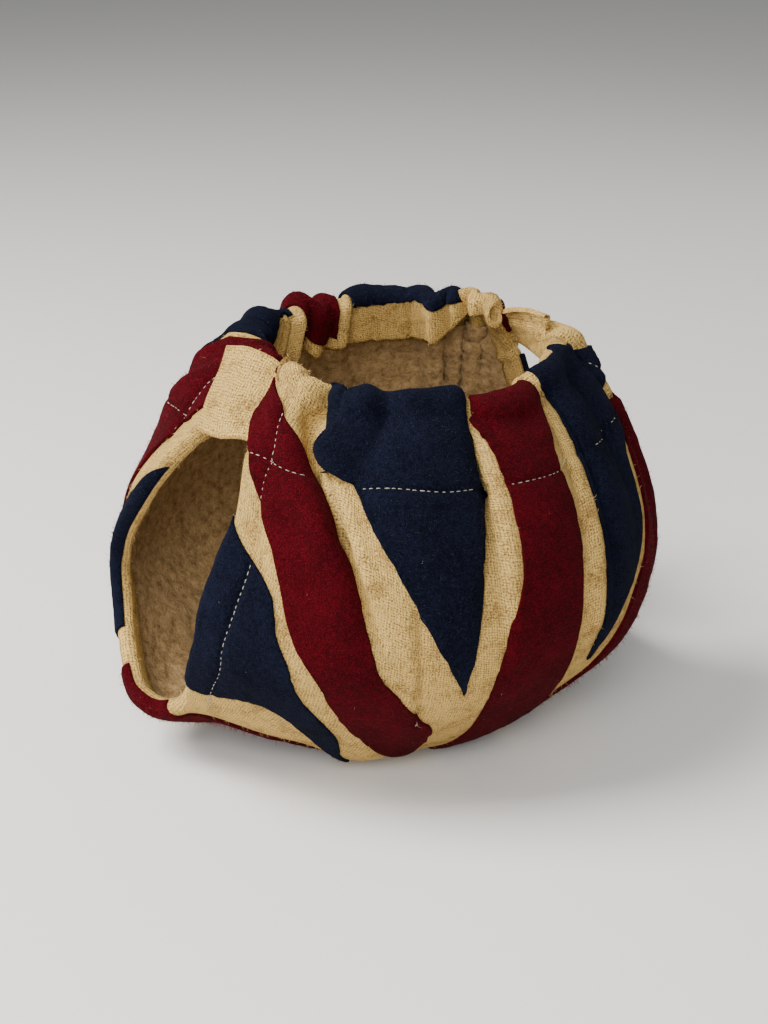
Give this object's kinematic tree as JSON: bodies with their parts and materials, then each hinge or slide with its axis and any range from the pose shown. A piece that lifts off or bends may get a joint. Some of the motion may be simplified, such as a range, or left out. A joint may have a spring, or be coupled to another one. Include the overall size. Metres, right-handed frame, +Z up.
{
  "type": "tea cosy",
  "caption": "Wool cosy in flag patchwork that wraps under a round teapot and gathers at its neck, open at the top, spout and handle.",
  "frame": {"origin": "on the floor below the middle of the cosy's box", "axes": "+X towards the teapot's handle, -X towards its spout, -Y the near panel, +Z up"},
  "size_m": [0.1786, 0.1728, 0.1321],
  "materials": {
    "cream_wool": "coarse woven wool",
    "red_felt": "felted wool",
    "navy_felt": "felted wool",
    "fleece": "brushed fleece"
  },
  "bodies": {
    "root": {"cloth": "cream_wool", "lining": "fleece", "band_across": "red_felt", "band_near": "red_felt", "band_far": "red_felt", "diagonal_near_spout": "red_felt", "diagonal_near_handle": "red_felt", "diagonal_far_spout": "red_felt", "diagonal_far_handle": "red_felt", "navy_side_near_spout": "navy_felt", "navy_end_near_spout": "navy_felt", "navy_side_near_handle": "navy_felt", "navy_end_near_handle": "navy_felt", "navy_side_far_spout": "navy_felt", "navy_end_far_spout": "navy_felt", "navy_side_far_handle": "navy_felt", "navy_end_far_handle": "navy_felt", "tab_spout": "cream_wool", "tab_handle": "cream_wool"}
  },
  "joints": []
}
